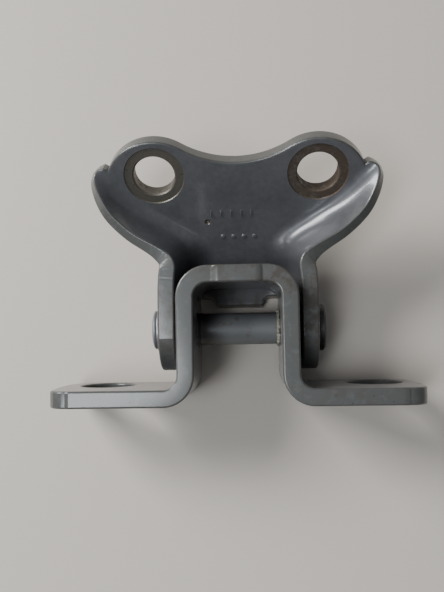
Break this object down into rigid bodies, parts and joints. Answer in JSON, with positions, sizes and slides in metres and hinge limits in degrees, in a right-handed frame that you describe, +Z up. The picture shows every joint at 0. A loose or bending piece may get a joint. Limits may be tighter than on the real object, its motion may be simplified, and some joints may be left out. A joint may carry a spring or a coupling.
{
  "type": "car door hinge",
  "caption": "Pressed-steel car door hinge: an omega-shaped door leaf and a scooped pillar leaf turn about a riveted pin in flanged bushes.",
  "frame": {"origin": "middle of the base, on the surface that the hinge lies on", "axes": "+X along the hinge pin towards its forged head, +Y towards the bolt plate's edge, +Z up from that surface"},
  "size_m": [0.111, 0.0794, 0.0419],
  "materials": {
    "grey_paint": "satin grey primer, worn at the edges",
    "pin_steel": "dull dark steel with light rust",
    "bush_bronze": "dark greasy bronze"
  },
  "bodies": {
    "pillar_side": {"pillar_leaf": "grey_paint", "flanged_bush_left": "bush_bronze", "flanged_bush_right": "bush_bronze"},
    "door_side": {"door_leaf": "grey_paint", "hinge_pin": "pin_steel", "rivet_washer": "pin_steel"}
  },
  "joints": [
    {"name": "door_swing", "type": "hinge", "parent": "pillar_side", "child": "door_side", "pos_m": [0, -0.01449, 0.01459], "axis": [1, 0, 0], "range_deg": [0, 80]}
  ]
}
